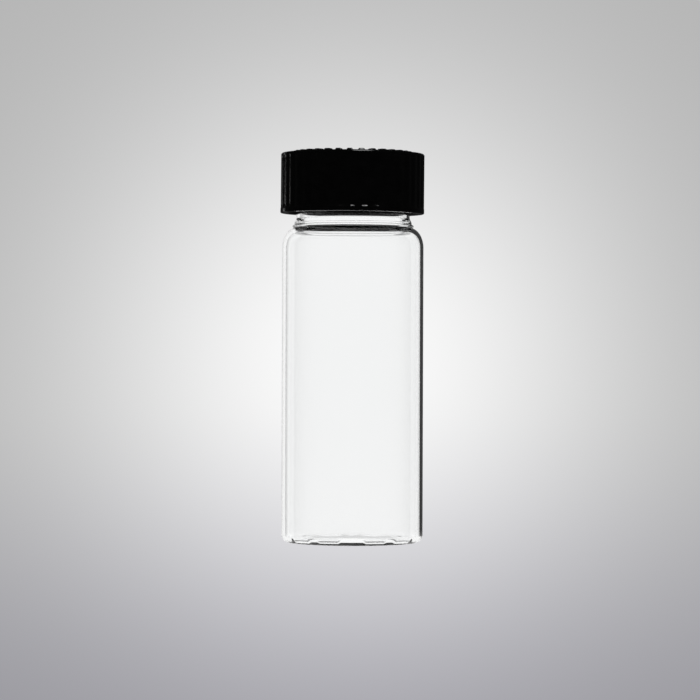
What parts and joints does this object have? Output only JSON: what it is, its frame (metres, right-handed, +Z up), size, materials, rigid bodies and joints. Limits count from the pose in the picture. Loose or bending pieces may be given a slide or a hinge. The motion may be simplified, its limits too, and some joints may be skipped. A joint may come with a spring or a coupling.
{
  "type": "specimen jar",
  "caption": "Clear screw-neck glass specimen vial with a ribbed black screw cap and a film-faced rubber liner inside the cap.",
  "frame": {"origin": "centre of the base, on the plane that the vial stands on", "axes": "+Z up along the axis of vial, thread, liner and cap; +X and +Y across the vial"},
  "size_m": [0.028, 0.028, 0.076],
  "materials": {
    "clear_glass": "clear colourless borosilicate tube glass, fire-polished, faint vertical draw lines",
    "liner_film": "white satin fluoropolymer film",
    "liner_rubber": "matt off-white rubber",
    "black_phenolic": "moulded black phenolic, semi-gloss, fine ribs"
  },
  "bodies": {
    "vial": {"glass_vial": "clear_glass"},
    "liner": {"liner_facing": "liner_film", "liner_backing": "liner_rubber"},
    "cap": {"screw_cap": "black_phenolic"}
  },
  "joints": [
    {"name": "cap_rise", "type": "slide", "parent": "vial", "child": "liner", "axis": [0, 0, 1], "range_m": [0, 0.016]},
    {"name": "cap_turn", "type": "hinge", "parent": "liner", "child": "cap", "pos_m": [0, 0, 0.0639], "axis": [0, 0, 1], "range_deg": [0, 1800]}
  ],
  "couplings": [
    {"joint": "cap_rise", "follows": "cap_turn", "m_per_rad": 0.00050532}
  ]
}
